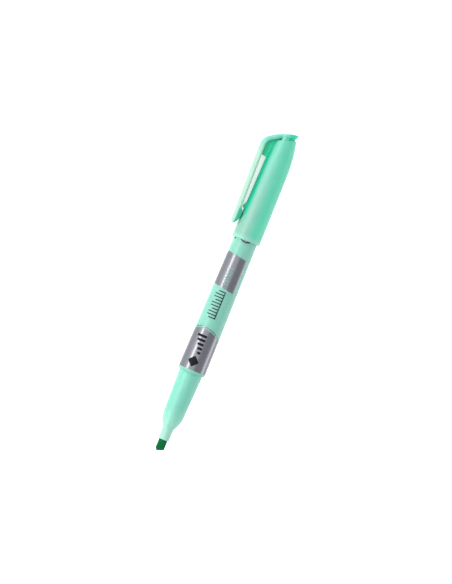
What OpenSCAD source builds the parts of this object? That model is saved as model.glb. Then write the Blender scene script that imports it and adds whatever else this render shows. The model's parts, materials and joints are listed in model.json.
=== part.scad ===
// Slim pocket highlighter with its cap pushed on the back of the barrel.
// It lies on its side, held from rolling by its clip. +X points along the pen to the nib, +Z is up.
// Each part is drawn about the pen's own axis and laid down at the end, by lay_down().
// "a" is the distance in mm along that axis, from the nib's tip. "azimuth" is the angle round it,
// from the clip, anticlockwise as seen from the cap's closed end. "r" is a radius from it.

/* [Barrel] */
// Radius of the barrel behind its front lip
barrel_front_r = 6.15; // [6.05:0.01:6.25]
// Radius of the barrel at its rear end
barrel_rear_r = 4.95; // [4.9:0.01:5.05]
// Length of the barrel
barrel_len = 87.4; // [86:0.1:88]
// Wall of the barrel
barrel_wall = 0.9; // [0.8:0.05:0.95]
// Number of ribs inside the barrel that hold the reservoir
barrel_ribs = 6; // [3:1:8]

/* [Front section] */
// Radius of the grip where it meets the barrel
grip_rear_r = 5.28; // [5.2:0.01:5.35]
// Radius of the grip where the shoulder begins
grip_front_r = 4.6; // [4.5:0.01:4.7]
// Distance from the nib's tip to where the shoulder begins
shoulder_a = 17.5; // [17:0.1:18.5]
// Radius of the shoulder's curve
shoulder_curve_r = 13; // [11:0.5:15]
// Radius of the nozzle that holds the nib
nozzle_r = 2.52; // [2.45:0.01:2.6]
// Distance from the nib's tip to the barrel's front lip
lip_a = 37.1; // [36.5:0.1:38]

/* [Nib] */
// Radius of the nib's rod
nib_r = 1.93; // [1.8:0.01:1.95]
// Length of nib that shows
nib_out = 5.5; // [5:0.1:6]
// Angle of the writing face to a square cut, in degrees
nib_slant = 22; // [10:1:30]
// Thickness of the chisel at the tip
nib_edge_t = 1.3; // [1:0.1:2]
// Azimuth of the chisel's long point
nib_azimuth = -10; // [-90:1:90]

/* [Ink reservoir] */
// Radius of the fibre rod
fibre_r = 3.7; // [3.5:0.05:3.75]
// Thickness of the film round the rod
film_t = 0.1; // [0.05:0.01:0.12]

/* [Cap] */
// Radius of the cap at its mouth, on which the pen rests
cap_mouth_r = 6.32; // [6.28:0.01:6.4]
// Distance from the nib's tip to the cap's mouth
cap_mouth_a = 99.1; // [98:0.1:100]
// Length of the straight band at the cap's mouth
cap_band_len = 5; // [4:0.1:5]
// Wall of the cap tube
cap_wall = 0.93; // [0.9:0.01:0.94]
// Radius of the curve that draws the cap in at its closed end
cap_ogive_r = 67; // [60:1:80]

/* [Clip] */
// Width of the clip
clip_w = 5; // [4.6:0.1:5.2]
// Distance from the pen's axis to the outside of the clip
clip_out_r = 10.55; // [10.3:0.05:10.7]
// Thickness of the clip's arm at its crown
clip_t = 2.1; // [1.9:0.05:2.2]
// Radius of the clip's rounded outside
clip_crown_r = 3.3; // [3:0.1:4]

/* [Print] */
// Thickness of the printed silver foil
foil_t = 0.04; // [0.03:0.01:0.06]
// Azimuth of the highest point of the lower band's curved edge
band_azimuth = 56; // [0:1:180]
// Azimuth of the panel's straight edge
panel_azimuth = 129; // [90:1:180]
// How far round the barrel the panel goes, in degrees
panel_sweep = 200; // [120:5:240]

/* [Hidden] */
$fn = 96;

running_gap = 0.03; // between pieces that are pushed together
far = 60;           // longer than any cut needs

// Barrel
barrel_rear_a = lip_a + barrel_len;
lip_round = 0.9;
taper_a = lip_a + lip_round;
barrel_slope = (barrel_front_r - barrel_rear_r) / (barrel_rear_a - taper_a);
front_seat_r = 5.12;
front_seat_len = 9;
rear_seat_r = 4.05;
rear_seat_len = 6;
rib_t = 0.6;

// Front section
nozzle_end_a = nib_out;
nozzle_end_r = nozzle_r - 0.08;
grip_lean = atan((grip_rear_r - grip_front_r) / (lip_a - shoulder_a));
shoulder_centre = [grip_front_r, shoulder_a] - shoulder_curve_r * [cos(grip_lean), -sin(grip_lean)];
nib_bore_r = nib_r + 0.04;
nib_bore_len = 11.5;
air_channel_r = 0.22;
reservoir_seat_r = 3.9;

// Nib and reservoir
nib_len = 27;
nib_rear_r = 0.9;
nib_rear_len = 4;
nib_flat_len = 4.7;
nib_heel = 0.8;
fibre_front_a = 23;
fibre_rear_a = barrel_rear_a - rear_seat_len - 1;
nib_socket_r = nib_r + 0.02;

// Tail plug
plug_flange_t = 0.9;
plug_wall = 0.9;
plug_dimple_r = 1.6;

// Cap
cap_band_a = cap_mouth_a + cap_band_len;
cap_taper_a = cap_mouth_a + 32;
cap_taper_r = 5.99;
cap_top_a = 146.2;      // height of the slanted end on the axis
cap_top_tilt = 18.5;    // slope of that end, in degrees, falling to the clip
cap_bevel_a = 149.1;    // height on the axis of the steeper cut under the clip's bend
cap_bevel_tilt = 46.5;
cap_cavity_a = 142.2;
cap_bore_mouth_r = cap_mouth_r - cap_wall;
cap_bore_rear_r = 5.06;
seal_a = cap_mouth_a + 27.5;
seal_bore_r = 2.56;
seal_wall = 0.8;
seal_flange_r = 4.3;
seal_flange_t = 1.2;
seal_end_t = 0.8;
plug_bore_r = 2.6;
bump_w = 3;

// Clip: a band that starts as the cap's top plate, curves over and goes down as the arm
plate_r = 4.15;
plate_t = 1.8;
plate_end_x = -3.75;
plate_end_a = 150.25;
plate_slope_1 = 6;      // slope at the plate's free end
plate_slope_2 = 34;     // slope where the band leaves the plate
plate_curve_r = 21.5;
bend_straight = 2.5;
bend_r = 5.56;
neck_r = 3.3;
neck_block = [[-0.1, 2.75], 3.6];   // its reach along the clip's plane, and half its width
web_t = 2;
hinge_a = 135.9;        // where the web ends and the arm starts to bend
arm_tilt = 1.85;        // how far the arm leans in to the cap, in degrees
arm_end_a = 104.2;
nub_r = 6.4;            // distance from the axis to the nub's inner face

// Rest pose: the clip's lower edge touches the surface that the cap's mouth rests on
rest_height = cap_mouth_r;
crown_centre = clip_out_r - clip_crown_r;
clip_edge_r = crown_centre + sqrt(pow(clip_crown_r, 2) - pow(clip_w / 2, 2));
clip_foot = norm([clip_edge_r, clip_w / 2]);
rest_turn = asin((rest_height - 0.03) / clip_foot) - atan(clip_w / 2 / clip_edge_r);
mid_a = plate_end_a / 2;
mid_y = (crown_centre * cos(rest_turn) + clip_crown_r - cap_mouth_r) / 2;

function barrel_r(a) = barrel_front_r - barrel_slope * (a - taper_a);

// Points on an arc, for the round stretches of an outline
function arc(centre, r, from, to, steps = 6) =
    [for (i = [0:steps]) let (t = from + (to - from) * i / steps)
        centre + r * [cos(t), sin(t)]];

module turned(points) rotate_extrude() polygon(points);

// Turns a part about the pen's axis to the rest pose and lays it on its side
module lay_down()
    translate([mid_a, mid_y, rest_height])
        rotate([0, -90, 0])
            rotate(270 - rest_turn)
                children();

// ---- Barrel ----------------------------------------------------------------------------------

module barrel() {
    lip = arc([barrel_front_r - lip_round, taper_a], lip_round, -80, 0);
    color("#8fe0c8") lay_down() {
        difference() {
            turned(concat(
                [[4, lip_a]], lip, [[barrel_rear_r, barrel_rear_a], [3, barrel_rear_a]],
                [[3, barrel_rear_a - 1]]
            ));
            turned([
                [0, lip_a - 1], [front_seat_r, lip_a - 1],
                [front_seat_r, lip_a + front_seat_len],
                [barrel_r(lip_a + front_seat_len) - barrel_wall, lip_a + front_seat_len],
                [rear_seat_r, barrel_rear_a - rear_seat_len],
                [rear_seat_r, barrel_rear_a + 1], [0, barrel_rear_a + 1]
            ]);
        }
        barrel_reservoir_ribs();
    }
}

// Thin ribs along the bore, which grip the reservoir and leave air room round it
module barrel_reservoir_ribs() {
    rib_from = lip_a + front_seat_len + 1;
    rib_to = barrel_rear_a - rear_seat_len - 0.5;
    tip_r = fibre_r + film_t + running_gap;
    overlap = 0.3;
    for (i = [0:barrel_ribs - 1])
        rotate(i * 360 / barrel_ribs + 15)
            rotate([90, 0, 0])
                linear_extrude(rib_t, center = true)
                    polygon([
                        [tip_r, rib_from], [barrel_r(rib_from) - barrel_wall + overlap, rib_from],
                        [barrel_r(rib_to) - barrel_wall + overlap, rib_to], [tip_r, rib_to]
                    ]);
}

// ---- Front section: grip, cone and nozzle in one moulding ------------------------------------

module front_section() {
    spigot_r = front_seat_r - running_gap;
    spigot_end = lip_a + front_seat_len - 0.5;
    cavity_a = nozzle_end_a + nib_bore_len;
    shoulder_start = -acos((nozzle_r - shoulder_centre[0]) / shoulder_curve_r);
    shoulder = arc(shoulder_centre, shoulder_curve_r, shoulder_start, -grip_lean, 12);
    color("#8fe0c8") lay_down() difference() {
        turned(concat(
            [[1, nozzle_end_a], [nozzle_end_r - 0.1, nozzle_end_a], [nozzle_end_r, nozzle_end_a + 0.2]],
            shoulder,
            [[grip_rear_r, lip_a - running_gap], [spigot_r, lip_a - running_gap],
             [spigot_r, spigot_end - 0.4], [spigot_r - 0.4, spigot_end], [1, spigot_end]]
        ));
        translate([0, 0, nozzle_end_a - 1]) cylinder(r = nib_bore_r, h = nib_bore_len + 2);
        translate([0, 0, cavity_a]) cylinder(r = reservoir_seat_r, h = far);
        for (i = [0:3])
            rotate(45 + 90 * i)
                translate([nib_bore_r, 0, nozzle_end_a - 1])
                    cylinder(r = air_channel_r, h = nib_bore_len + 2, $fn = 24);
    }
}

// ---- Nib: a fibre rod cut to a chisel --------------------------------------------------------

module nib() {
    flat_lean = atan((nib_r - nib_edge_t / 2) / nib_flat_len);
    color("#0a8a48") lay_down() rotate(nib_azimuth) difference() {
        turned([
            [0, 0], [nib_r, 0], [nib_r, nib_len - nib_rear_len], [nib_rear_r, nib_len], [0, nib_len]
        ]);
        // two flats, one on each side of the chisel
        for (side = [-1, 1])
            translate([0, side * nib_edge_t / 2, 0])
                rotate([-side * flat_lean, 0, 0])
                    translate([-far / 2, side > 0 ? 0 : -far, -far / 2])
                        cube([far, far, far]);
        // the slanted writing face, from the long point down to the short one
        translate([nib_r - nib_heel, 0, 0])
            rotate([0, nib_slant, 0])
                translate([-far, -far / 2, -far]) cube([far, far, far]);
        // the small bevel beyond the long point
        translate([nib_r - nib_heel, 0, 0])
            rotate([0, -58, 0])
                translate([0, -far / 2, -far]) cube([far, far, far]);
    }
}

// ---- Ink reservoir: a fibre rod in a film sleeve ---------------------------------------------

module ink_reservoir() {
    nib_depth = nib_len - fibre_front_a;
    color("#2fbf86") lay_down() difference() {
        translate([0, 0, fibre_front_a])
            cylinder(r = fibre_r, h = fibre_rear_a - fibre_front_a);
        turned([
            [0, fibre_front_a - 1], [nib_socket_r, fibre_front_a - 1], [nib_socket_r, fibre_front_a],
            [nib_rear_r + 0.02, fibre_front_a + nib_depth + 0.1], [0, fibre_front_a + nib_depth + 0.1]
        ]);
    }
}

module reservoir_film() {
    color("#dff3ec") lay_down() difference() {
        translate([0, 0, fibre_front_a + 0.5])
            cylinder(r = fibre_r + film_t, h = fibre_rear_a - fibre_front_a - 1);
        translate([0, 0, fibre_front_a]) cylinder(r = fibre_r, h = fibre_rear_a - fibre_front_a);
    }
}

// ---- Tail plug -------------------------------------------------------------------------------

module tail_plug() {
    spigot_r = rear_seat_r - running_gap;
    front = barrel_rear_a - rear_seat_len + 0.5;
    end = barrel_rear_a + plug_flange_t;
    edge = arc([barrel_rear_r - 0.5, end - 0.5], 0.5, 0, 90, 4);
    color("#8fe0c8") lay_down() turned(concat(
        [[spigot_r - plug_wall, front], [spigot_r - 0.3, front], [spigot_r, front + 0.4],
         [spigot_r, barrel_rear_a + running_gap], [barrel_rear_r, barrel_rear_a + running_gap]],
        edge,
        [[plug_dimple_r + 0.3, end], [plug_dimple_r, end - 0.3], [0, end - 0.3],
         [0, barrel_rear_a - 0.4], [spigot_r - plug_wall, barrel_rear_a - 0.4]]
    ));
}

// ---- Printed silver foil ---------------------------------------------------------------------

// A sleeve of foil on the barrel between two distances from the tip
module foil_sleeve(from, to) {
    gap = 0.005;
    turned([
        [barrel_r(from) + gap, from], [barrel_r(from) + gap + foil_t, from],
        [barrel_r(to) + gap + foil_t, to], [barrel_r(to) + gap, to]
    ]);
}

// Everything on the nib's side of a plane through the axis at a. The plane rises by tilt degrees
// towards the azimuth given.
module below_plane(a, tilt, azimuth)
    rotate(azimuth) translate([0, 0, a]) rotate([0, -tilt, 0])
        translate([-far, -far, -2 * far]) cube(2 * far);

band_from = 38.4;
band_mid_a = 54.1;      // height of the curved edge on the axis
band_tilt = 27.5;
hairline_gap = 0.5;
hairline_w = 0.45;
panel_from = 76.1;
panel_len = 15.4;
panel_tilt = 9.2;
disc_r = 3.7;
disc_a = 101.8;
view_azimuth = 80;      // azimuth of the side that the print faces

// The band and, beyond a narrow gap, the line that runs along its curved edge
module lower_foil_band()
    color("#9a9aa2") lay_down() {
        intersection() {
            foil_sleeve(band_from, 62);
            below_plane(band_mid_a, band_tilt, band_azimuth);
        }
        difference() {
            intersection() {
                foil_sleeve(46, 64);
                below_plane(band_mid_a + hairline_gap + hairline_w, band_tilt, band_azimuth);
            }
            below_plane(band_mid_a + hairline_gap, band_tilt, band_azimuth);
        }
    }

module upper_foil_panel()
    color("#9a9aa2") lay_down() difference() {
        intersection() {
            foil_sleeve(panel_from - 4, panel_from + panel_len + 4);
            below_plane(panel_from + panel_len, panel_tilt, view_azimuth - 90);
            rotate(panel_azimuth - panel_sweep / 2)
                translate([0, 0, panel_from - 5])
                    linear_extrude(panel_len + 10)
                        sector(panel_sweep);
        }
        below_plane(panel_from, panel_tilt, view_azimuth - 90);
    }

// A flat sector of the full sweep given, centred on +X
module sector(sweep) {
    reach = 20;
    polygon(concat(
        [[0, 0]],
        [for (i = [0:8]) let (t = -sweep / 2 + sweep * i / 8) reach * [cos(t), sin(t)]]
    ));
}

// A round mark near the back of the barrel, nearly all of it under the cap
module rear_foil_disc()
    color("#9a9aa2") lay_down() intersection() {
        foil_sleeve(disc_a - disc_r - 1, disc_a + disc_r + 1);
        rotate(view_azimuth) translate([0, 0, disc_a]) rotate([0, 90, 0])
            cylinder(r = disc_r, h = 10);
    }

// ---- Cap tube --------------------------------------------------------------------------------

// Outline of the cap's outside: straight band, straight taper, then one long arc
function cap_r(a) =
    a < cap_band_a ? cap_mouth_r :
    a < cap_taper_a
        ? cap_mouth_r - (cap_mouth_r - cap_taper_r) * (a - cap_band_a) / (cap_taper_a - cap_band_a)
        : cap_taper_r - cap_ogive_r + sqrt(pow(cap_ogive_r, 2) - pow(a - cap_taper_a, 2));

module cap_outside(grow = 0) {
    mouth_round = 0.3;
    mouth = arc([cap_mouth_r - mouth_round + grow, cap_mouth_a + mouth_round], mouth_round, -90, 0, 4);
    ogive_steps = 9;
    ogive_end = 149;
    ogive = [for (i = [0:ogive_steps])
        let (a = cap_taper_a + (ogive_end - cap_taper_a) * i / ogive_steps) [cap_r(a) + grow, a]];
    turned(concat([[0, cap_mouth_a]], mouth, [[cap_mouth_r + grow, cap_band_a]], ogive, [[0, ogive_end]]));
}

// Everything on the nib's side of the cap's slanted end
module below_cap_top(offset = 0) below_plane(cap_top_a + offset, -cap_top_tilt, 0);

// The tube's outer shape, filled, with both cuts at its closed end
module cap_body(grow = 0)
    intersection() {
        cap_outside(grow);
        below_cap_top(grow);
        below_plane(cap_bevel_a + grow, -cap_bevel_tilt, 0);
    }

module cap_tube() {
    cavity_r = cap_r(cap_cavity_a) - 0.95;
    color("#8fe0c8") lay_down() {
        difference() {
            cap_body();
            turned([
                [0, cap_mouth_a - 1], [cap_bore_mouth_r, cap_mouth_a - 1],
                [cap_bore_mouth_r, cap_mouth_a + 2], [cap_bore_rear_r, cap_mouth_a + 27],
                [seal_flange_r + running_gap, 139.5], [cavity_r, cap_cavity_a], [0, cap_cavity_a]
            ]);
            translate([0, 0, cap_cavity_a - 1]) cylinder(r = plug_bore_r, h = far);
        }
        clip_stop_bump();
    }
}

// A small wedge on the tube that the clip's nub sits behind
module clip_stop_bump() {
    from = 112.1;
    peak = 112.9;
    to = 115;
    root = 5.8;
    height = 0.8;
    rotate([90, 0, 0])
        linear_extrude(bump_w, center = true)
            polygon([
                [root, from], [cap_r(from), from], [cap_r(peak) + height, peak - 0.4],
                [cap_r(peak) + height, peak], [cap_r(to), to], [root, to]
            ]);
}

// ---- Inner seal: a cup that closes round the nozzle when the cap is on the front -------------

module cap_inner_seal() {
    outer_r = seal_bore_r + seal_wall;
    end = 141.4;
    color("#cfeee2") lay_down() turned([
        [seal_bore_r + 0.3, seal_a], [outer_r, seal_a], [outer_r, end - seal_flange_t],
        [seal_flange_r, end - seal_flange_t], [seal_flange_r - 0.35, end], [0, end],
        [0, end - seal_end_t], [seal_bore_r - 0.2, end - seal_end_t], [seal_bore_r, seal_a + 4]
    ]);
}

// ---- Clip ------------------------------------------------------------------------------------

// Points on the outside of the band, seen from the side as [distance from the axis, a],
// from the plate's free end over the bend to the vertical
function band_outside() =
    let (
        first = [plate_end_x, plate_end_a],
        c1 = first - plate_curve_r * [sin(plate_slope_1), cos(plate_slope_1)],
        p1 = arc(c1, plate_curve_r, 90 - plate_slope_1, 90 - plate_slope_2),
        along = [cos(plate_slope_2), -sin(plate_slope_2)],
        p2 = p1[len(p1) - 1] + bend_straight * along,
        c2 = p2 - bend_r * [sin(plate_slope_2), cos(plate_slope_2)]
    ) concat(p1, arc(c2, bend_r, 90 - plate_slope_2, 0));

// The same line moved inwards by the band's thickness, which grows from plate_t to clip_t
function band_inside() =
    let (p = band_outside(), n = len(p))
    [for (i = [0:n - 1])
        let (
            d = p[min(i + 1, n - 1)] - p[max(i - 1, 0)],
            t = plate_t + (clip_t - plate_t) * i / (n - 1)
        ) p[i] - t * [-d[1], d[0]] / norm(d)];

function reversed(list) = [for (i = [len(list) - 1:-1:0]) list[i]];

// Extrudes a side outline to both sides of the clip's middle plane
module from_side(w) rotate([90, 0, 0]) linear_extrude(w, center = true) children();

// Plan of the plate and the band: a round plate that narrows to the clip, with a round outside
module clip_plan() {
    circle(r = plate_r);
    translate([0, -clip_w / 2]) square([crown_centre, clip_w]);
    intersection() {
        translate([crown_centre, 0]) circle(r = clip_crown_r);
        translate([crown_centre, -clip_w / 2]) square([clip_crown_r + 1, clip_w]);
    }
}

// Side view of all that lies under the band from x and a on, just into the band itself
module below_band(x, a) {
    overlap = 0.15;
    polygon(concat(
        [[x, a], [clip_out_r - clip_t + overlap, a]],
        [for (p = reversed(band_inside())) if (p[0] > x - 1) p + [overlap, overlap]], [[x, 146]]
    ));
}

module clip_top() {
    inside = band_inside();
    inner_x = clip_out_r - clip_t;
    color("#8fe0c8") lay_down() {
        intersection() {
            from_side(far) polygon(concat(
                band_outside(), [[clip_out_r, hinge_a], [inner_x, hinge_a]], reversed(inside)
            ));
            translate([0, 0, hinge_a - 1]) linear_extrude(20) clip_plan();
        }
        // web between the band and the tube, and the neck and its block below the plate
        difference() {
            union() {
                from_side(web_t) below_band(2, hinge_a);
                intersection() {
                    from_side(2 * neck_block[1]) intersection() {
                        below_band(neck_block[0][0], 142);
                        translate([neck_block[0][0], 142])
                            square([neck_block[0][1] - neck_block[0][0], 20]);
                    }
                    cylinder(r = plate_r - 0.2, h = 200);
                }
                intersection() {
                    cylinder(r = neck_r, h = 200);
                    from_side(far) below_band(-neck_r, 142);
                }
            }
            cap_body(0.02);
        }
        // plug that is pushed into the tube's end
        intersection() {
            translate([0, 0, cap_cavity_a]) cylinder(r = plug_bore_r - running_gap, h = 6);
            below_cap_top(1);
        }
    }
}

module clip_arm() {
    split_gap = 0.02;
    top = hinge_a - split_gap;
    lean = tan(arm_tilt);
    out_x = clip_out_r;
    in_x = clip_out_r - clip_t;
    end_out_x = out_x - lean * (top - arm_end_a - 2);
    nub_top = in_x - lean * (top - 112.4);
    color("#8fe0c8") lay_down() intersection() {
        from_side(clip_w) polygon([
            [in_x, top], [out_x, top], [end_out_x, arm_end_a + 2], [end_out_x - 0.25, arm_end_a + 0.8],
            [end_out_x - 0.8, arm_end_a], [end_out_x - 1.3, arm_end_a + 0.15],
            [nub_r + 0.8, arm_end_a + 1.6], [nub_r + 0.1, arm_end_a + 3.2],
            [nub_r, arm_end_a + 4.2], [nub_r + 0.1, arm_end_a + 5.6], [nub_top - 0.5, 111.2],
            [nub_top, 112.4]
        ]);
        translate([out_x, 0, top]) rotate([0, arm_tilt, 0]) translate([-clip_crown_r, 0, -far])
            cylinder(r = clip_crown_r, h = far + 1);
    }
}

barrel();
front_section();
nib();
ink_reservoir();
reservoir_film();
tail_plug();
lower_foil_band();
upper_foil_panel();
rear_foil_disc();
cap_tube();
cap_inner_seal();
clip_top();
clip_arm();
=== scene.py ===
# A slim pocket highlighter lies on a white table, uncapped, with its clip cap pushed on the back of
# the barrel. The sections follow the pen as it is put together, from the camera on to the clip.
import json
import math

import bmesh
import bpy
from mathutils import Matrix, Vector


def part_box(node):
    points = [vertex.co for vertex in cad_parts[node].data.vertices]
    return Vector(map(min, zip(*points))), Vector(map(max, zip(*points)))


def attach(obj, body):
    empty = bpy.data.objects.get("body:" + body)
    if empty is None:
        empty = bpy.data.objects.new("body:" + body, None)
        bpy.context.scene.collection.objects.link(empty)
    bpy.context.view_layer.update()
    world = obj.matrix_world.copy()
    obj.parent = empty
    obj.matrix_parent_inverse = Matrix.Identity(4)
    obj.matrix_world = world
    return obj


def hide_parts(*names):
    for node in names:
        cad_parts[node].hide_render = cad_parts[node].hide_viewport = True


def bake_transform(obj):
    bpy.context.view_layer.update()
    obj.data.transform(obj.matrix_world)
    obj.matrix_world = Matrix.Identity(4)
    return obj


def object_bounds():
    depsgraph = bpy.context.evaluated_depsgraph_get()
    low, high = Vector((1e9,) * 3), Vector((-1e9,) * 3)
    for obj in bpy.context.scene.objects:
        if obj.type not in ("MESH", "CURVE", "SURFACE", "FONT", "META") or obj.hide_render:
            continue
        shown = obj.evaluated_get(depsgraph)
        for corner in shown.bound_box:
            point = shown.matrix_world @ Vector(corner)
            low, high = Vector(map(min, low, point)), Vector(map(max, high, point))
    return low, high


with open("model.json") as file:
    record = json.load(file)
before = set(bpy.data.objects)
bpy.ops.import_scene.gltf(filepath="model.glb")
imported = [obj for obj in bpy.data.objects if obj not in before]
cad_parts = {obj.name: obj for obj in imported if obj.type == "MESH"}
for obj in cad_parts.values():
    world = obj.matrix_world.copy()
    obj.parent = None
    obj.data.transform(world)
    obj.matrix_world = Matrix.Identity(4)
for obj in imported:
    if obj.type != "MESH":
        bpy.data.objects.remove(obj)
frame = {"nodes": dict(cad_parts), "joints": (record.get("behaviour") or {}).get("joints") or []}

cad_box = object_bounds()


# ---- The pen's own frame -----------------------------------------------------------------------
# The pen lies along X with its nib at +X. Each piece is modelled upright, in millimetres, with the
# nib's tip at the origin, the pen's axis up Z and the clip on +X. It is then laid in its place.
clip_flex = next(joint for joint in frame["joints"] if joint["name"] == "clip_flex")
barrel_low, barrel_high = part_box("barrel")
nib_tip = Vector((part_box("nib")[1].x, *((barrel_low + barrel_high) / 2)[1:]))
towards_cap = Vector((-1, 0, 0))
across_clip = -Vector(clip_flex["axis"]).normalized()
towards_clip = across_clip.cross(towards_cap)
turn_down = Matrix((towards_clip, across_clip, towards_cap)).transposed().to_4x4()
lay_down = Matrix.Translation(nib_tip) @ turn_down @ Matrix.Scale(0.001, 4)


# ---- Camera ------------------------------------------------------------------------------------
# A long lens looks square on to the pen's axis, with the clip on the left and a little towards it.
# The pen leans over to the right in the picture.
view_turn = math.radians(80)  # round the pen from the clip
lean = math.radians(22.5)
picture_height = 0.2544  # at the pen
lens = 120
sensor = 36
pen_length = (cad_box[1] - cad_box[0]).x * 1000
middle = lay_down @ Vector((0, 0, pen_length / 2))

to_camera = turn_down.to_3x3() @ Vector((math.cos(view_turn), math.sin(view_turn), 0))
pen_right = towards_cap.cross(to_camera)
picture_right = math.cos(lean) * pen_right + math.sin(lean) * towards_cap
picture_up = math.cos(lean) * towards_cap - math.sin(lean) * pen_right
aim = middle + 0.0006 * picture_right - 0.0001 * picture_up

camera = bpy.data.objects.new("camera", bpy.data.cameras.new("camera"))
camera.data.lens = lens
camera.data.sensor_width = sensor
camera.matrix_world = Matrix.Translation(aim + to_camera * picture_height * lens / sensor) @ Matrix(
    (picture_right, picture_up, to_camera)
).transposed().to_4x4()
camera.data.clip_start = 0.01
bpy.context.scene.collection.objects.link(camera)
bpy.context.scene.camera = camera


# ---- Table -------------------------------------------------------------------------------------
# A sheet of white acrylic, lit a little from below like a light table, so that the pen has only a
# faint shadow. Its matt top is almost plain.
def srgb(colour):
    """A linear RGBA colour from an sRGB hex value such as "8fe0c8"."""
    parts = [int(colour[i : i + 2], 16) / 255 for i in (0, 2, 4)]
    return *[c / 12.92 if c <= 0.04045 else ((c + 0.055) / 1.055) ** 2.4 for c in parts], 1


def add_node(tree, kind, inputs=(), **settings):
    """Adds a shader node. An input is a value, or the output socket that feeds it."""
    node = tree.nodes.new("ShaderNode" + kind)
    for name, value in settings.items():
        setattr(node, name, value)
    for name, value in dict(inputs).items():
        if isinstance(value, bpy.types.NodeSocket):
            tree.links.new(value, node.inputs[name])
        else:
            node.inputs[name].default_value = value
    return node


def between(tree, share, first, second):
    """A colour between two, at the share that a socket gives."""
    inputs = {"Factor": share, "A": first, "B": second}
    return add_node(tree, "Mix", inputs, data_type="RGBA").outputs["Result"]


def new_material(name):
    """An empty material, and its node tree."""
    material = bpy.data.materials.new(name)
    material.use_nodes = True
    material.node_tree.nodes.clear()
    return material, material.node_tree


acrylic, tree = new_material("white_acrylic")
place = add_node(tree, "TexCoord").outputs["Object"]
grain = add_node(tree, "TexNoise", {"Vector": place, "Scale": 1 / 0.03, "Detail": 3})
matt = add_node(
    tree, "BsdfPrincipled",
    {
        "Base Color": between(tree, grain.outputs["Fac"], srgb("fbfbfb"), srgb("fdfdfd")),
        "Roughness": 0.8,
        "Emission Color": srgb("ffffff"),
        "Emission Strength": 0.5,
    },
)
add_node(tree, "OutputMaterial", {"Surface": matt.outputs["BSDF"]})

bm = bmesh.new()
bmesh.ops.create_grid(bm, x_segments=8, y_segments=8, size=2.0)
bmesh.ops.translate(bm, verts=bm.verts, vec=(0, 0, cad_box[0].z))
table_mesh = bpy.data.meshes.new("table_top")
bm.to_mesh(table_mesh)
bm.free()
table_mesh.materials.append(acrylic)
table_top = bpy.data.objects.new("table_top", table_mesh)
bpy.context.scene.collection.objects.link(table_top)


# ---- Studio light ------------------------------------------------------------------------------
# A long, low softbox stands on the clip's side of the pen, with a large, weaker one above it and
# another on the far side. The room itself is pale grey.
def softbox(name, turn, height, distance, width, depth, strength):
    """A white softbox facing the pen. turn is round Z from +X, and height is above the table, both
    in degrees."""
    light = bpy.data.lights.new(name, "AREA")
    light.shape = "RECTANGLE"
    light.size = width
    light.size_y = depth
    light.energy = strength
    box = bpy.data.objects.new(name, light)
    turn, height = math.radians(turn), math.radians(height)
    way = Vector((math.cos(turn) * math.cos(height), math.sin(turn) * math.cos(height), math.sin(height)))
    box.location = middle + way * distance
    box.rotation_mode = "QUATERNION"
    box.rotation_quaternion = way.to_track_quat("Z", "Y")
    bpy.context.scene.collection.objects.link(box)


softbox("key_softbox", turn=-90, height=9, distance=0.6, width=1.4, depth=0.14, strength=4.1)
softbox("fill_softbox", turn=-90, height=44, distance=1.2, width=1.8, depth=0.9, strength=4.5)
softbox("far_softbox", turn=90, height=30, distance=1.0, width=1.6, depth=0.5, strength=5.2)

world = bpy.data.worlds.new("grey_room")
world.use_nodes = True
world.node_tree.nodes["Background"].inputs["Color"].default_value = srgb("e6eaf0")
world.node_tree.nodes["Background"].inputs["Strength"].default_value = 0.95
bpy.context.scene.world = world
bpy.context.scene.view_settings.view_transform = "Standard"


# ---- Barrel ------------------------------------------------------------------------------------
# The barrel is a slim polypropylene tube, injection moulded in pastel mint with a satin gloss. It
# tapers to the back, and a plain rounded lip ends it at the front.
def moulded_plastic(name, colour, deep_colour, roughness, painted_shading=()):
    """Satin polypropylene. Light goes a little way in, and the tool's fine texture breaks the gloss.
    Each entry of painted light or shade is a colour and its spans (way, start, end): the plastic turns
    to that colour along each way from start to end, in mm from the nib's tip on the axis."""
    material, tree = new_material(name)
    place = add_node(tree, "TexCoord").outputs["Object"]
    # flow marks run along the pen: 12 mm long and 3 mm wide
    stretched = add_node(tree, "Mapping", {"Vector": place, "Scale": (0.25, 1, 1)})
    flow = add_node(tree, "TexNoise", {"Vector": stretched.outputs[0], "Scale": 1 / 0.003, "Detail": 2})
    # the tool's texture is about 0.05 mm across, drawn at 0.3 mm so that it shows
    satin = add_node(tree, "TexNoise", {"Vector": place, "Scale": 1 / 0.0003, "Detail": 4})
    tone = between(tree, flow.outputs["Fac"], srgb(deep_colour), srgb(colour))
    from_tip = add_node(tree, "VectorMath", {0: place, 1: nib_tip}, operation="SUBTRACT")
    # painted light and shade: each colour is laid over the plastic's own tone where its spans meet
    for painted_colour, spans in painted_shading:
        share = 1.0
        for way, start, end in spans:
            along = add_node(tree, "VectorMath", {0: from_tip.outputs[0], 1: way}, operation="DOT_PRODUCT")
            span = add_node(
                tree, "MapRange",
                {"Value": along.outputs["Value"], "From Min": start / 1000, "From Max": end / 1000},
                interpolation_type="SMOOTHSTEP",
            )
            both = add_node(tree, "Math", {0: span.outputs["Result"], 1: share}, operation="MULTIPLY")
            share = both.outputs[0]
        tone = between(tree, share, tone, srgb(painted_colour))
    shine = add_node(
        tree, "MapRange",
        {"Value": satin.outputs["Fac"], "To Min": roughness - 0.05, "To Max": roughness + 0.05},
    )
    texture = add_node(
        tree, "Bump", {"Height": satin.outputs["Fac"], "Strength": 0.15, "Distance": 0.00002}
    )
    surface = add_node(
        tree, "BsdfPrincipled",
        {
            "Base Color": tone,
            "Roughness": shine.outputs["Result"],
            "IOR": 1.49,
            "Subsurface Weight": 0.5,
            "Subsurface Radius": (0.7, 1.0, 0.9),
            "Subsurface Scale": 0.0025,
            "Normal": texture.outputs["Normal"],
        },
    )
    add_node(tree, "OutputMaterial", {"Surface": surface.outputs["BSDF"]})
    return material


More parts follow.
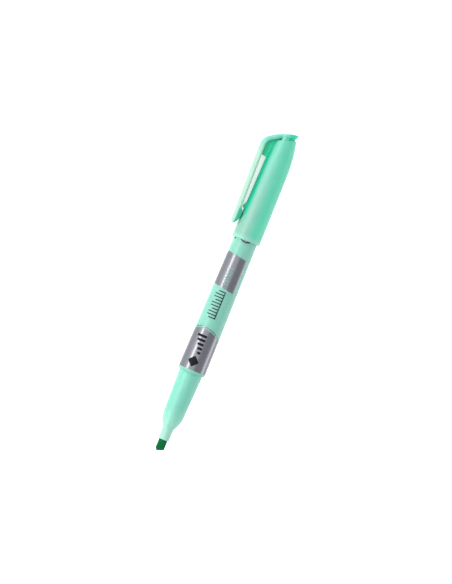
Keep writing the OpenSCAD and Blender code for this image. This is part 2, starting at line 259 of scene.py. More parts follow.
def rounded(corners, steps=6):
    """The points of an outline. Each corner is (radius from the axis, height, radius of its round)."""
    outline = []
    for before, (r, a, fillet), after in zip([None, *corners], corners, [*corners[1:], None]):
        corner = Vector((r, a))
        if not (before and after and fillet):
            outline.append(corner)
            continue
        back = (Vector(before[:2]) - corner).normalized()
        on = (Vector(after[:2]) - corner).normalized()
        half_angle = back.angle(on) / 2
        centre = corner + (back + on).normalized() * fillet / math.sin(half_angle)
        first = corner + back * fillet / math.tan(half_angle) - centre
        last = corner + on * fillet / math.tan(half_angle) - centre
        for step in range(steps + 1):
            outline.append(centre + first.lerp(last, step / steps).normalized() * fillet)
    return outline


def turned(outline, steps=192, sweep=360, start=0, closed=True):
    """A mesh turned about the pen's axis from an outline."""
    bm = bmesh.new()
    spoke = Matrix.Rotation(math.radians(start), 3, "Z")
    verts = [bm.verts.new(spoke @ Vector((point[0], 0, point[1]))) for point in outline]
    ends = zip(verts, verts[1:] + verts[:1]) if closed else zip(verts, verts[1:])
    edges = [bm.edges.new(pair) for pair in ends]
    ring = {"geom": verts + edges, "cent": (0, 0, 0), "axis": (0, 0, 1), "angle": math.radians(sweep)}
    bmesh.ops.spin(bm, steps=steps, use_merge=sweep == 360, use_duplicate=False, **ring)
    bmesh.ops.remove_doubles(bm, verts=bm.verts, dist=0.0005)
    bmesh.ops.recalc_face_normals(bm, faces=bm.faces)
    return bm


def to_object(bm, name, material, sharp=35):
    """Lays a finished mesh in its place on the pen and makes its object."""
    bmesh.ops.transform(bm, matrix=lay_down, verts=bm.verts)
    mesh = bpy.data.meshes.new(name)
    bm.to_mesh(mesh)
    bm.free()
    mesh.materials.append(material)
    mesh.shade_smooth()
    mesh.set_sharp_from_angle(angle=math.radians(sharp))
    piece = bpy.data.objects.new(name, mesh)
    bpy.context.scene.collection.objects.link(piece)
    return piece


mint_plastic = moulded_plastic("mint_polypropylene", "75b19e", "6fae9a", 0.34)

barrel_front = (nib_tip.x - barrel_high.x) * 1000
barrel_rear = (nib_tip.x - barrel_low.x) * 1000
barrel_front_r = (barrel_high.z - barrel_low.z) * 500
barrel_rear_r = (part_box("tail_plug")[1].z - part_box("tail_plug")[0].z) * 500
lip_round = 0.9
taper_start = barrel_front + lip_round


def barrel_radius(a):
    """The barrel's radius at a height along the pen."""
    share = (a - taper_start) / (barrel_rear - taper_start)
    return barrel_front_r + (barrel_rear_r - barrel_front_r) * share


front_seat_r = 5.12
front_seat_end = barrel_front + 9
rear_seat_r = 4.05
rear_seat_end = barrel_rear - 6
barrel_wall = 0.9
# the first point only gives the lip's inner edge its direction
bm = turned(
    rounded([
        (front_seat_r, front_seat_end, 0),
        (front_seat_r, barrel_front, 0.1),
        (barrel_front_r, barrel_front, 0.75),
        (barrel_front_r, taper_start + 0.02, 0),
        (barrel_rear_r, barrel_rear, 0.12),
        (rear_seat_r, barrel_rear, 0.1),
        (rear_seat_r, rear_seat_end, 0),
        (barrel_radius(front_seat_end) - barrel_wall, front_seat_end, 0),
        (front_seat_r, front_seat_end, 0),
    ])[1:]
)
barrel = to_object(bm, "barrel_tube", mint_plastic)
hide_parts("barrel")
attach(barrel, "pen_body")


# ---- Grip, shoulder and nozzle -----------------------------------------------------------------
# One polypropylene moulding, pressed into the barrel up to its lip. A shallow groove runs round it
# just below the lip, and four air channels open round the nib at the nozzle's mouth.
# The nozzle and shoulder are painted paler towards the nib: a painted highlight.
grip_plastic = moulded_plastic(
    "mint_polypropylene_grip", "71b7a3", "6bb39e", 0.34, painted_shading=[("8ec1ad", [(-towards_cap, -22, -8)])]
)


def arc(centre, radius, start, end, steps):
    """Points along an arc, from one angle to another in degrees."""
    angles = [math.radians(start + (end - start) * step / steps) for step in range(steps + 1)]
    return [Vector(centre) + radius * Vector((math.cos(t), math.sin(t))) for t in angles]


push_gap = 0.03  # between pieces that are pushed together
nozzle_mouth = (nib_tip.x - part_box("front_section")[1].x) * 1000
nozzle_r = 2.52
nib_bore_r = 1.97
grip_front = Vector((4.6, 17.5))
grip_rear = Vector((5.28, barrel_front - push_gap))
grip_lean = math.atan2(grip_rear.x - grip_front.x, grip_rear.y - grip_front.y)
shoulder_r = 13
shoulder_centre = grip_front - shoulder_r * Vector((math.cos(grip_lean), -math.sin(grip_lean)))
shoulder_start = -math.degrees(math.acos((nozzle_r - shoulder_centre.x) / shoulder_r))
shoulder = arc(shoulder_centre, shoulder_r, shoulder_start, -math.degrees(grip_lean), 20)
groove = grip_rear.y - 0.55
groove_depth = 0.1
bore_end = nozzle_mouth + 11.5
spigot_r = front_seat_r - push_gap
spigot_end = front_seat_end - 0.5
reservoir_seat_r = 3.9
mouth = rounded([
    (nib_bore_r, nozzle_mouth + 1, 0),
    (nib_bore_r, nozzle_mouth, 0.06),
    (nozzle_r - 0.08, nozzle_mouth, 0.16),
    (nozzle_r, shoulder[0].y, 0),
])
grip_top = rounded([
    (grip_rear.x - 0.04, groove - 0.5, 0),
    (grip_rear.x - 0.03, groove - 0.22, 0.1),
    (grip_rear.x - groove_depth, groove - 0.12, 0.05),
    (grip_rear.x - groove_depth, groove + 0.12, 0.05),
    (grip_rear.x - 0.01, groove + 0.22, 0.1),
    (grip_rear.x, grip_rear.y, 0),
    (spigot_r, grip_rear.y, 0),
    (spigot_r, spigot_end, 0.3),
    (reservoir_seat_r, spigot_end, 0.1),
    (reservoir_seat_r, bore_end, 0),
    (nib_bore_r, bore_end, 0),
], steps=3)
bm = turned(mouth[:-1] + shoulder + grip_top)
channel_r = 0.22
for vert in bm.verts:
    r = vert.co.xy.length
    if r < nib_bore_r + 0.08 and vert.co.z < nozzle_mouth + 2:
        turn = math.degrees(math.atan2(vert.co.y, vert.co.x)) % 90 - 45
        off_middle = math.radians(turn) * r
        if abs(off_middle) < channel_r:
            vert.co.xy *= 1 + math.sqrt(channel_r**2 - off_middle**2) / r
front = to_object(bm, "grip_section", grip_plastic)
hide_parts("front_section")
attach(front, "pen_body")


# ---- Nib ---------------------------------------------------------------------------------------
# A rod of bonded polyester fibres, ground to a slanted chisel and soaked dark with green ink. The
# fibres run along it, and the chisel's edges are slightly rounded. It is pushed into the nozzle.
fibre_nib, tree = new_material("inked_polyester_fibre")
place = add_node(tree, "TexCoord").outputs["Object"]
# fibres are about 0.02 mm across, drawn at 0.12 mm so that they show
drawn_out = add_node(tree, "Mapping", {"Vector": place, "Scale": (0.08, 1, 1)})
fibres = add_node(tree, "TexNoise", {"Vector": drawn_out.outputs[0], "Scale": 1 / 0.00012, "Detail": 3})
blotches = add_node(tree, "TexNoise", {"Vector": place, "Scale": 1 / 0.0012, "Detail": 2})
ink = between(tree, fibres.outputs["Fac"], srgb("003d1b"), srgb("046a36"))
lint = add_node(tree, "Bump", {"Height": fibres.outputs["Fac"], "Strength": 0.5, "Distance": 0.00004})
felt = add_node(
    tree, "BsdfPrincipled",
    {
        "Base Color": between(tree, blotches.outputs["Fac"], ink, srgb("015c2e")),
        "Roughness": 0.8,
        "Specular IOR Level": 0.1,
        "Normal": lint.outputs["Normal"],
    },
)
add_node(tree, "OutputMaterial", {"Surface": felt.outputs["BSDF"]})


def rod(radius, low, high):
    """A plain rod on the pen's axis."""
    bm = bmesh.new()
    bmesh.ops.create_cone(
        bm, cap_ends=True, segments=96, radius1=radius, radius2=radius, depth=high - low,
        matrix=Matrix.Translation((0, 0, (low + high) / 2)),
    )
    return bm


def cut_off(bm, point, removed_side, nearest=0.0001):
    """Cuts a mesh by a plane and drops what lies on one side. The cut is left open."""
    bmesh.ops.bisect_plane(
        bm, geom=bm.verts[:] + bm.edges[:] + bm.faces[:], plane_co=point, plane_no=removed_side,
        clear_outer=True, dist=nearest,
    )


def close_cuts(bm):
    """Fills every opening with a flat face."""
    bmesh.ops.holes_fill(bm, edges=[edge for edge in bm.edges if edge.is_boundary], sides=0)


def soften(bm, edges, width, segments):
    """Rounds edges off."""
    bmesh.ops.bevel(
        bm, geom=edges, offset=width, offset_type="OFFSET", segments=segments, profile=0.5,
        affect="EDGES", material=-1, clamp_overlap=True,
    )


nib_low, nib_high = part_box("nib")
nib_r = 1.93
nib_length = (nib_high.x - nib_low.x) * 1000
heel = 0.8  # from the nib's side to its long point
long_point = nib_r - heel
edge_t = 1.3
flat_length = 4.7
flat_lean = math.atan((nib_r - edge_t / 2) / flat_length)
face_slant = math.radians(22)
heel_slant = math.radians(58)
nib_turn = math.radians(-10)
cuts = [
    ((0, edge_t / 2, 0), (0, math.cos(flat_lean), -math.sin(flat_lean))),
    ((0, -edge_t / 2, 0), (0, -math.cos(flat_lean), -math.sin(flat_lean))),
    ((long_point, 0, 0), (-math.sin(face_slant), 0, -math.cos(face_slant))),
    ((long_point, 0, 0), (math.sin(heel_slant), 0, -math.cos(heel_slant))),
]
bm = rod(nib_r, 0, nib_length)
for point, removed_side in cuts:
    cut_off(bm, point, removed_side, nearest=0.001)
    close_cuts(bm)
ridges = [
    edge for edge in bm.edges
    if edge.is_manifold and edge.calc_face_angle() > math.radians(12)
    and edge.verts[0].co.z < 2 * flat_length
]
soften(bm, ridges, 0.12, 3)
bmesh.ops.rotate(bm, verts=bm.verts, cent=(0, 0, 0), matrix=Matrix.Rotation(nib_turn, 3, "Z"))
nib = to_object(bm, "chisel_nib", fibre_nib, sharp=40)
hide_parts("nib")
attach(nib, "pen_body")


# ---- Silver foil -------------------------------------------------------------------------------
# Hot-stamped aluminium foil on the barrel: a band with a curved edge and a line that follows it, a
# slant-ended panel, and a round mark by the cap's mouth. It mirrors the room, softened by its lacquer.
silver_foil, tree = new_material("hot_stamped_aluminium_foil")
place = add_node(tree, "TexCoord").outputs["Object"]
# the foil lies over the plastic's texture in patches about 1.5 mm across
patches = add_node(tree, "TexNoise", {"Vector": place, "Scale": 1 / 0.0015, "Detail": 3})
grains = add_node(tree, "TexNoise", {"Vector": place, "Scale": 1 / 0.0002, "Detail": 2})
haze = add_node(tree, "MapRange", {"Value": patches.outputs["Fac"], "To Min": 0.25, "To Max": 0.29})
orange_peel = add_node(tree, "Bump", {"Height": grains.outputs["Fac"], "Strength": 0.05, "Distance": 0.00001})
foil = add_node(
    tree, "BsdfPrincipled",
    {
        "Base Color": between(tree, patches.outputs["Fac"], srgb("75757a"), srgb("7e7e83")),
        "Metallic": 1.0,
        "Roughness": haze.outputs["Result"],
        "Normal": orange_peel.outputs["Normal"],
    },
)
add_node(tree, "OutputMaterial", {"Surface": foil.outputs["BSDF"]})

foil_top = 0.03


def foil_sleeve(low, high, **sweep):
    """A thin sleeve on the barrel, from just below its surface."""
    below = 0.03
    return turned(
        [
            (barrel_radius(low) - below, low), (barrel_radius(low) + foil_top, low),
            (barrel_radius(high) + foil_top, high), (barrel_radius(high) - below, high),
        ],
        **sweep,
    )


def cut_away(bm, height, tilt, turn, above=True):
    """Cuts off what lies above a plane through the axis, or below it. The plane rises by tilt
    degrees towards turn, which is round the pen from the clip."""
    normal = Matrix.Rotation(math.radians(turn), 3, "Z") @ Matrix.Rotation(math.radians(-tilt), 3, "Y")
    normal = normal @ Vector((0, 0, 1 if above else -1))
    cut_off(bm, (0, 0, height), normal)
    bmesh.ops.bridge_loops(bm, edges=[edge for edge in bm.edges if edge.is_boundary])


def wrap(bm, turn):
    """Bends a flat mesh round the barrel: x goes round it, from turn, and y goes along it."""
    for vert in bm.verts:
        a = vert.co.y
        r = barrel_radius(a) + vert.co.z
        angle = math.radians(turn) + vert.co.x / barrel_radius(a)
        vert.co = (r * math.cos(angle), r * math.sin(angle), a)


def mark(corners, round_r=0.0):
    """A flat mark with these corners, cut into narrow strips so that it can bend round the barrel."""
    loop = [(x, y, round_r) for x, y in corners]
    outline = rounded([loop[-1], *loop, loop[0]], steps=5)[1:-1]
    bm = bmesh.new()
    bm.faces.new([bm.verts.new((*point, 0)) for point in outline])
    bmesh.ops.remove_doubles(bm, verts=bm.verts, dist=0.0001)
    low = min(point.x for point in outline)
    high = max(point.x for point in outline)
    strip_w = 0.35
    for strip in range(1, int((high - low) / strip_w) + 1):
        bmesh.ops.bisect_plane(
            bm, geom=bm.verts[:] + bm.edges[:] + bm.faces[:], plane_co=(low + strip * strip_w, 0, 0),
            plane_no=(1, 0, 0),
        )
    return bm


def thicken(bm, faces, way):
    """Makes a solid of flat faces, which it moves and joins to their first place by sides."""
    raised = bmesh.ops.extrude_face_region(bm, geom=faces)["geom"]
    moved = [part for part in raised if isinstance(part, bmesh.types.BMVert)]
    bmesh.ops.translate(bm, verts=moved, vec=way)
    bmesh.ops.recalc_face_normals(bm, faces=bm.faces)


def stamp(marks, name, material, turn, top):
    """Joins flat marks, bends them round the barrel and gives them the thickness of a print."""
    whole = bmesh.new()
    for bm in marks:
        part = bpy.data.meshes.new("mark")
        bm.to_mesh(part)
        bm.free()
        whole.from_mesh(part)
        bpy.data.meshes.remove(part)
    bmesh.ops.recalc_face_normals(whole, faces=whole.faces)
    for face in whole.faces:
        if face.normal.z < 0:
            face.normal_flip()
    thicken(whole, whole.faces[:], (0, 0, top))
    wrap(whole, turn)
    return to_object(whole, name, material, sharp=25)


view_side = math.degrees(view_turn)
band_height = 54.1  # of the curved edge, on the axis
band_tilt = 27.5
band_turn = 56
line_gap = 0.5
line_width = 0.4
band_start = barrel_front + 1.3
edge_reach = 8  # the slanted edges rise and fall by less than this
bm = foil_sleeve(band_start, band_height + edge_reach)
cut_away(bm, band_height, band_tilt, band_turn)
band = to_object(bm, "silver_band", silver_foil, sharp=25)
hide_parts("lower_foil_band")
bm = foil_sleeve(band_height - edge_reach, band_height + edge_reach + line_gap + line_width)
cut_away(bm, band_height + line_gap + line_width, band_tilt, band_turn)
cut_away(bm, band_height + line_gap, band_tilt, band_turn, above=False)
line = to_object(bm, "silver_line", silver_foil, sharp=25)

panel_start = 76.1
panel_length = 15.4
panel_tilt = 9.2
panel_turn = 129
panel_sweep = 200
panel_end = panel_start + panel_length
bm = foil_sleeve(
    panel_start - 4, panel_end + 4, sweep=panel_sweep, start=panel_turn - panel_sweep, steps=108
)
close_cuts(bm)
cut_away(bm, panel_end, panel_tilt, view_side - 90)
cut_away(bm, panel_start, panel_tilt, view_side - 90, above=False)
panel = to_object(bm, "silver_panel", silver_foil, sharp=25)
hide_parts("upper_foil_panel")

dot_r = 3.7
dot_height = 101.8


def disc(middle, radius, steps):
    """A flat round mark."""
    return mark(arc(middle, radius, 0, 360, steps)[1:])


dot_top = 0.045
dot = stamp([disc((0, dot_height), dot_r, 60)], "silver_dot", silver_foil, view_side, dot_top)
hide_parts("rear_foil_disc")
for piece in (band, line, panel, dot):
    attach(piece, "pen_body")


# ---- Printed marks -----------------------------------------------------------------------------
# Screen-printed ink over the foil and the bare plastic: a scale of fine lines, rising bars with a
# diamond before them, a ring round the silver dot with a speck beside it, and short mint dashes in
# the panel. Ink is duller than foil and stands a little higher.
black_ink, tree = new_material("black_screen_ink")
place = add_node(tree, "TexCoord").outputs["Object"]
weave = add_node(tree, "TexNoise", {"Vector": place, "Scale": 1 / 0.0002, "Detail": 2})
mesh_print = add_node(tree, "Bump", {"Height": weave.outputs["Fac"], "Strength": 0.2, "Distance": 0.00001})
lacquer = add_node(
    tree, "BsdfPrincipled",
    {
        "Base Color": between(tree, weave.outputs["Fac"], srgb("060606"), srgb("101011")),
        "Roughness": 0.6,
        "Specular IOR Level": 0.15,
        "Normal": mesh_print.outputs["Normal"],
    },
)
add_node(tree, "OutputMaterial", {"Surface": lacquer.outputs["BSDF"]})

print_turn = view_side - 10  # a little towards the clip
print_top = 0.05


def bar(low, high, height, thickness, round_r):
    """A bar across the pen, from low to high round the barrel."""
    bottom, top = height - thickness / 2, height + thickness / 2
    return mark([(low, bottom), (high, bottom), (high, top), (low, top)], round_r)


scale_start, scale_pitch, scale_side = 62.6, 1.35, 1.5
scale_lines = [
    bar(-2.7 if index % 3 else -1.6, scale_side, scale_start + scale_pitch * index, 0.42, 0.15)
    for index in range(10)
]
scale_lines.append(bar(scale_side - 0.2, scale_side + 0.2, 68.65, 12.7, 0.1))
scale_print = stamp(scale_lines, "black_scale", black_ink, print_turn, print_top)

bar_start, bar_pitch, bar_side, bar_step = 46.3, 1.9, 1.6, 0.75
bars = [
    bar(bar_side - bar_step * (index + 2), bar_side, bar_start + bar_pitch * index, 1.1, 0.3)
    for index in range(5)
]
bar_print = stamp(bars, "black_bars", black_ink, print_turn, print_top)

diamond_r = 2.6
diamond_height = 42.2
diamond = mark(arc((0, diamond_height), diamond_r, -90, 270, 4)[:-1], 0.5)
diamond_print = stamp([diamond], "black_diamond", black_ink, print_turn, print_top)

ring_width = 0.4
bm = bmesh.new()
for edge_r in (dot_r, dot_r - ring_width):
    bmesh.ops.create_circle(bm, segments=96, radius=edge_r)
bmesh.ops.bridge_loops(bm, edges=bm.edges[:])
bmesh.ops.translate(bm, verts=bm.verts, vec=(0, dot_height, 0))
speck = disc((-5.7, 98.6), 0.35, 12)
ring_print = stamp([bm, speck], "black_ring", black_ink, view_side, 2 * dot_top)

dash_start, dash_pitch = 78.3, 1.4
dashes = [bar(-1.2, 0.9, dash_start + dash_pitch * index, 0.62, 0.2) for index in range(6)]
dash_print = stamp(dashes, "mint_dashes", mint_plastic, print_turn, print_top)
for piece in (scale_print, bar_print, diamond_print, ring_print, dash_print):
    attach(piece, "pen_body")


# ---- Reservoir and seal ------------------------------------------------------------------------
# Inside the barrel, a rod of crimped polyester fibres holds the ink in a sleeve of clear film. A
# soft polyethylene cup in the cap closes round the nozzle. None of them shows on a whole pen.
wadding, tree = new_material("ink_soaked_wadding")
place = add_node(tree, "TexCoord").outputs["Object"]
drawn_out = add_node(tree, "Mapping", {"Vector": place, "Scale": (0.05, 1, 1)})
strands = add_node(tree, "TexNoise", {"Vector": drawn_out.outputs[0], "Scale": 1 / 0.0002, "Detail": 3})
soaked = between(tree, strands.outputs["Fac"], srgb("1fa877"), srgb("4fd0a0"))
fluff = add_node(tree, "Bump", {"Height": strands.outputs["Fac"], "Strength": 0.6, "Distance": 0.0001})
fibre = add_node(
    tree, "BsdfPrincipled",
    {"Base Color": soaked, "Roughness": 0.9, "Normal": fluff.outputs["Normal"]},
)
add_node(tree, "OutputMaterial", {"Surface": fibre.outputs["BSDF"]})

film, tree = new_material("clear_polypropylene_film")
place = add_node(tree, "TexCoord").outputs["Object"]
creases = add_node(tree, "TexNoise", {"Vector": place, "Scale": 1 / 0.004, "Detail": 2})
wrinkle = add_node(tree, "Bump", {"Height": creases.outputs["Fac"], "Strength": 0.3, "Distance": 0.0001})
clear = add_node(
    tree, "BsdfPrincipled",
    {
        "Base Color": srgb("eefaf6"),
        "Roughness": 0.12,
        "IOR": 1.49,
        "Transmission Weight": 0.8,
        "Normal": wrinkle.outputs["Normal"],
    },
)
add_node(tree, "OutputMaterial", {"Surface": clear.outputs["BSDF"]})

seal_plastic = moulded_plastic("natural_polyethylene", "d6f0e8", "cdebe2", 0.5)
for node_name, material in (
    ("ink_reservoir", wadding), ("reservoir_film", film), ("cap_inner_seal", seal_plastic)
):
    frame["nodes"][node_name].material_slots[0].material = material


# ---- Tail plug ---------------------------------------------------------------------------------
# A small polypropylene plug, pressed into the back of the barrel once the reservoir is in. Its
# rounded flange is as wide as the barrel and has a shallow gate dimple in the middle.
plug_low, plug_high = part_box("tail_plug")
plug_end = (nib_tip.x - plug_low.x) * 1000
plug_front = (nib_tip.x - plug_high.x) * 1000
plug_r = rear_seat_r - push_gap
plug_wall = 0.9
dimple_r = 1.6
bm = turned(
    rounded([
        (0, plug_end - 1.3, 0),
        (plug_r - plug_wall, plug_end - 1.3, 0.2),
        (plug_r - plug_wall, plug_front, 0.1),
        (plug_r, plug_front, 0.35),
        (plug_r, barrel_rear + push_gap, 0),
        (barrel_rear_r, barrel_rear + push_gap, 0.05),
        (barrel_rear_r, plug_end, 0.5),
        (dimple_r + 0.2, plug_end, 0.15),
        (dimple_r, plug_end - 0.3, 0.1),
        (0, plug_end - 0.3, 0),
    ]),
    closed=False,
)
plug = to_object(bm, "tail_plug_moulding", mint_plastic)
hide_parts("tail_plug")
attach(plug, "pen_body")


# ---- Cap ---------------------------------------------------------------------------------------
# A polypropylene cap, moulded in a deeper mint: a straight band at the mouth, then a long taper that
# rounds in to a slanted end. A small wedge on its side sits behind the clip's nub.
cap_mouth = (nib_tip.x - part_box("cap_tube")[1].x) * 1000
# The cap's colour carries painted light and shade, each marked below.
cap_plastic = moulded_plastic(
    "mint_polypropylene_cap", "5eb59d", "58b198", 0.36,
    painted_shading=[
        ("52be9d", [(-towards_clip, -1, 3)]),  # painted shade: a deeper, more saturated mint on the side away from the clip
        ("76a694", [(towards_clip, -1.2, 3.5), (-towards_cap, -152, -106)]),  # painted light and shade: greyer mint on the side by the clip, strongest near the mouth
        ("7fb8a5", [(-towards_cap, -cap_mouth - 3, -cap_mouth - 0.3)]),  # painted highlight: paler near the mouth
        ("10a581", [(towards_clip, 4.1, 5.5), (towards_cap, 104, 113)]),  # painted shade: a deep green strip on the cap under the clip
    ],
)
cap_r = 6.32
cap_band = cap_mouth + 5
cap_shoulder = Vector((5.99, cap_mouth + 32))
cap_curve_r = 67
cap_inside_end = 142.2
cap_end = 146.2
cap_end_tilt = -18.5
cap_bevel = 149.1
cap_bevel_tilt = -46.5
blank_end = 149  # before the end is cut on a slant
closing = math.degrees(math.asin((blank_end - cap_shoulder.y) / cap_curve_r))
curve = arc(cap_shoulder - Vector((cap_curve_r, 0)), cap_curve_r, 0, closing, 24)
bore_r = 5.39
mouth = rounded([
    (0, cap_inside_end, 0),
    (4.0, cap_inside_end, 0.4),
    (4.33, cap_inside_end - 2.7, 0),
    (5.06, cap_mouth + 27, 0),
    (bore_r, cap_mouth + 2, 0),
    (bore_r, cap_mouth, 0.18),
    (cap_r, cap_mouth, 0.28),
    (cap_r, cap_band, 0),
])
bm = turned(mouth + curve + [Vector((0, blank_end))], closed=False)


def slice_end(bm, height, tilt):
    """Cuts an end off on a slant and closes the cut. tilt is in degrees and rises away from the clip
    when it is negative."""
    cut_off(bm, (0, 0, height), Matrix.Rotation(math.radians(-tilt), 3, "Y") @ Vector((0, 0, 1)))
    close_cuts(bm)


slice_end(bm, cap_end, cap_end_tilt)
slice_end(bm, cap_bevel, cap_bevel_tilt)
above_bore = cap_inside_end + 0.2
end_edges = [edge for edge in bm.edges if min(v.co.z for v in edge.verts) > above_bore]
end_verts = [v for v in bm.verts if v.co.z > above_bore]
bmesh.ops.dissolve_limit(bm, angle_limit=math.radians(0.01), verts=end_verts, edges=end_edges)
end_edges = [edge for edge in bm.edges if min(v.co.z for v in edge.verts) > above_bore]
rim = [edge for edge in end_edges if edge.is_manifold and edge.calc_face_angle() > math.radians(20)]
soften(bm, rim, 0.25, 4)

catch_half = 1.5
catch_low, catch_high = cap_mouth + 13, cap_mouth + 15.9
catch_root, catch_top = 5.8, 6.98
catch = rounded([
    (catch_root, catch_low, 0),
    (6.2, catch_low, 0),
    (catch_top, catch_low + 0.4, 0.12),
    (catch_top, catch_low + 0.85, 0.3),
    (6.16, catch_high, 0),
    (catch_root, catch_high, 0),
])
wedge = bm.faces.new([bm.verts.new((point.x, -catch_half, point.y)) for point in catch])
thicken(bm, [wedge], (0, 2 * catch_half, 0))
cap = to_object(bm, "cap_shell", cap_plastic, sharp=40)
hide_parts("cap_tube")
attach(cap, "cap")


# ---- Clip --------------------------------------------------------------------------------------
# One moulding: a round plate over the cap's end, which narrows, curves over and runs down as a
# springy arm with a crowned outside and a nub inside its end. It bends where it leaves the web.
# The clip's colour carries painted light and shade, each marked below.
clip_plastic = moulded_plastic(
    "mint_polypropylene_clip", "5cb19d", "56ad99", 0.36,
    painted_shading=[
        ("22b898", [(-towards_clip, -3, 2)]),  # painted shade: deep green at the plate's free end
        ("93b6a3", [(-towards_cap, -146, -135)]),  # painted light: paler down the thin arm, as if lit through it
        ("2a9f82", [(-towards_clip, -9, -8), (-towards_cap, -113, -110.5)]),  # painted shade: deep green by the nub
    ],
)
plate_edge = Vector((-3.75, pen_length))
plate_r = 4.15
plate_t = 1.8
arm_t = 2.1
arm_out = 10.55
arm_half_w = 2.5
arm_lean = math.tan(math.radians(1.85))
hinge_height = (nib_tip.x - clip_flex["pos_m"][0]) * 1000
arm_end = (nib_tip.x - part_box("clip_arm")[1].x) * 1000
nose_start = arm_end + 3.9
nub_r = 6.4
nub_full, nub_start = arm_end + 5, arm_end + 8.2
slope_1, slope_2 = 6, 34  # of the plate, at its free end and where the bend starts
plate_curve_r, bend_r, straight = 21.5, 5.56, 2.5


def smooth_step(low, high, value):
    """Goes smoothly from 0 at low to 1 at high."""
    share = min(max((value - low) / (high - low), 0), 1)
    return share * share * (3 - 2 * share)


def clip_side_view():
    """Pairs of points on the clip's outside and inside, seen from the side, from the plate's free
    edge over the bend and down to the end of the arm."""
    first_centre = plate_edge - plate_curve_r * Vector(
        (math.sin(math.radians(slope_1)), math.cos(math.radians(slope_1)))
    )
    over = arc(first_centre, plate_curve_r, 90 - slope_1, 90 - slope_2, 28)
    down = math.radians(slope_2)
    bend_start = over[-1] + straight * Vector((math.cos(down), -math.sin(down)))
    bend = arc(bend_start - bend_r * Vector((math.sin(down), math.cos(down))), bend_r, 90 - slope_2, 0, 14)
    line = over + bend
    pairs = []
    for index, point in enumerate(line):
        way = line[min(index + 1, len(line) - 1)] - line[max(index - 1, 0)]
        inward = Vector((way.y, -way.x)).normalized()
        share = index / (len(line) - 1)
        undercut = Vector((0.45 * max(1 - index / 4, 0), 0))
        pairs.append((point, point + inward * (plate_t + (arm_t - plate_t) * share) + undercut))
    arm_top = line[-1]
    arm_steps, nose_steps = 40, 14
    for step in range(1, arm_steps + 1):
        a = arm_top.y + (nose_start - arm_top.y) * step / arm_steps
        drop = max(hinge_height - a, 0) * arm_lean
        inside = arm_out - arm_t - drop
        nub = smooth_step(nub_start, nub_full, a) * (inside - nub_r)
        blend_in = (arm_out - arm_top.x) * smooth_step(arm_top.y, hinge_height, a)
        pairs.append((Vector((arm_top.x + blend_in - drop, a)), Vector((inside - nub, a))))
    out, inside = pairs[-1]
    for step in range(1, nose_steps + 1):
        share = math.sin(math.pi / 2 * step / nose_steps)
        high = out.x - 0.35 * share**2
        low = inside.x + 1.8 * share**1.4
        half = max((high - low) / 2 * math.sqrt(1 - share**8), 0.02)
        a = nose_start - (nose_start - arm_end) * share
        pairs.append((Vector(((high + low) / 2 + half, a)), Vector(((high + low) / 2 - half, a))))
    return pairs


def clip_half_width(x, a):
    """Half the clip's width: round over the plate, then straight, and drawn in at the arm's end."""
    over_plate = math.sqrt(max(plate_r**2 - x**2, 0.01)) if x < plate_r else 0
    half = (over_plate + arm_half_w + math.hypot(over_plate - arm_half_w, 0.35)) / 2
    if x < 0:
        half = over_plate
    nose = max((nose_start - a) / (nose_start - arm_end), 0) if a < nose_start else 0
    return half * (1 - 0.1 * smooth_step(hinge_height, nose_start, a)) * math.sqrt(max(1 - 0.75 * nose**2, 0))


crown_over_plate, crown_on_arm = 0.3, 1.146


def clip_section(half, thickness, crown):
    """Points round the clip, as (across, up from its inside): flat inside, crowned outside."""
    fillet = min(0.3, 0.4 * (thickness - crown), 0.4 * thickness)
    side_top = thickness - crown
    loop = [(-half, 0, fillet), (half, 0, fillet), (half, side_top, fillet * 0.8)]
    loop += [(half * (1 - step / 6), thickness - crown * (1 - step / 6) ** 2, 0) for step in range(1, 12)]
    loop += [(-half, side_top, fillet * 0.8)]
    return rounded([loop[-1], *loop, loop[0]], steps=4)[1:-1]


side_view = clip_side_view()
rings = []
for index, (out, inside) in enumerate(side_view):
    thickness = (out - inside).length
    half = clip_half_width(out.x, out.y)
    crown_share = smooth_step(0, 8, out.x)
    full_crown = crown_over_plate + (crown_on_arm - crown_over_plate) * crown_share
    crown = min(full_crown, 0.55 * thickness)
    up = (out - inside).normalized()
    rings.append([
        Vector((inside.x + up.x * height, across, inside.y + up.y * height))
        for across, height in clip_section(half, thickness, crown)
    ])
stations, around = len(rings), len(rings[0])
bm = bmesh.new()
bmesh.ops.create_grid(bm, x_segments=stations - 1, y_segments=around, size=1)
for vert in bm.verts:
    station = round((vert.co.x + 1) / 2 * (stations - 1))
    place_round = round((vert.co.y + 1) / 2 * around) % around
    vert.co = rings[station][place_round]
bmesh.ops.remove_doubles(bm, verts=bm.verts, dist=0.004)
close_cuts(bm)
bmesh.ops.recalc_face_normals(bm, faces=bm.faces)
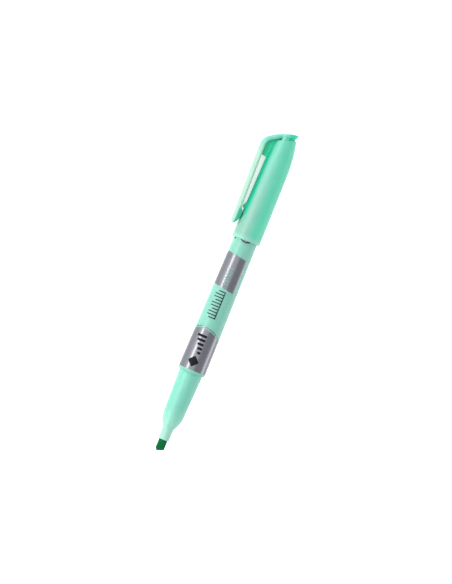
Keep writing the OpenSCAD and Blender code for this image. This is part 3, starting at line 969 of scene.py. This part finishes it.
free_edge = [
    edge for edge in bm.edges
    if edge.is_manifold and edge.calc_face_angle() > math.radians(50) and max(v.co.x for v in edge.verts) < -3
]
soften(bm, free_edge, 0.22, 4)
clip = to_object(bm, "clip_moulding", clip_plastic, sharp=45)
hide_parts("clip_top", "clip_arm")
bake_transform(clip)


# ---- Clip's web and neck -----------------------------------------------------------------------
# A thin web ties the clip's bend to the cap's side, and a block and a round neck hold the plate just
# clear of the cap's end. They are one moulding with the clip. The web and the round neck are painted
# a deeper, saturated green for the shade under the clip: a painted shade.
# painted shade: the web and the neck share this deeper green, which stands in for shade
painted_shade_plastic = moulded_plastic("mint_polypropylene_web", "03c593", "02be8d", 0.4)


def side_plate(outline, half_thickness, bevel):
    """A plate cut to an outline seen from the clip's side, with softened edges."""
    bm = bmesh.new()
    face = bm.faces.new([bm.verts.new((point[0], -half_thickness, point[1])) for point in outline])
    thicken(bm, [face], (0, 2 * half_thickness, 0))
    soften(bm, [edge for edge in bm.edges if edge.calc_face_angle() > math.radians(40)], bevel, 3)
    return bm


into_band = Vector((0.2, 0.2))
web_half = 1.0
# the web runs from inside the cap's wall out to the underside of the bend
under_band = [inside + into_band for out, inside in side_view if inside.y > hinge_height and inside.x > 2]
web_outline = [(4.4, hinge_height), *reversed(under_band), (2, 144)]
web = to_object(side_plate(web_outline, web_half, 0.12), "clip_web", painted_shade_plastic)

block_low, block_high, block_half = -0.1, 2.75, 3.6
block_r = plate_r - 0.2
block_top = 147.95
bm = rod(block_r, block_top - 3.45, block_top + 1.55)
sides = [
    ((block_low, 0, 0), (-1, 0, 0)), ((block_high, 0, 0), (1, 0, 0)),
    ((0, -block_half, 0), (0, -1, 0)), ((0, block_half, 0), (0, 1, 0)),
]
for point, outwards in sides:
    cut_off(bm, point, outwards)
    close_cuts(bm)
slice_end(bm, block_top, -20)
neck_block = to_object(bm, "clip_neck_block", cap_plastic)

neck_r = 3.3
neck_top = 148
bm = rod(neck_r, neck_top - 4, neck_top + 1)
slice_end(bm, neck_top, -17)
neck = to_object(bm, "clip_neck", painted_shade_plastic)

for piece in (web, neck_block, neck):
    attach(piece, "cap")
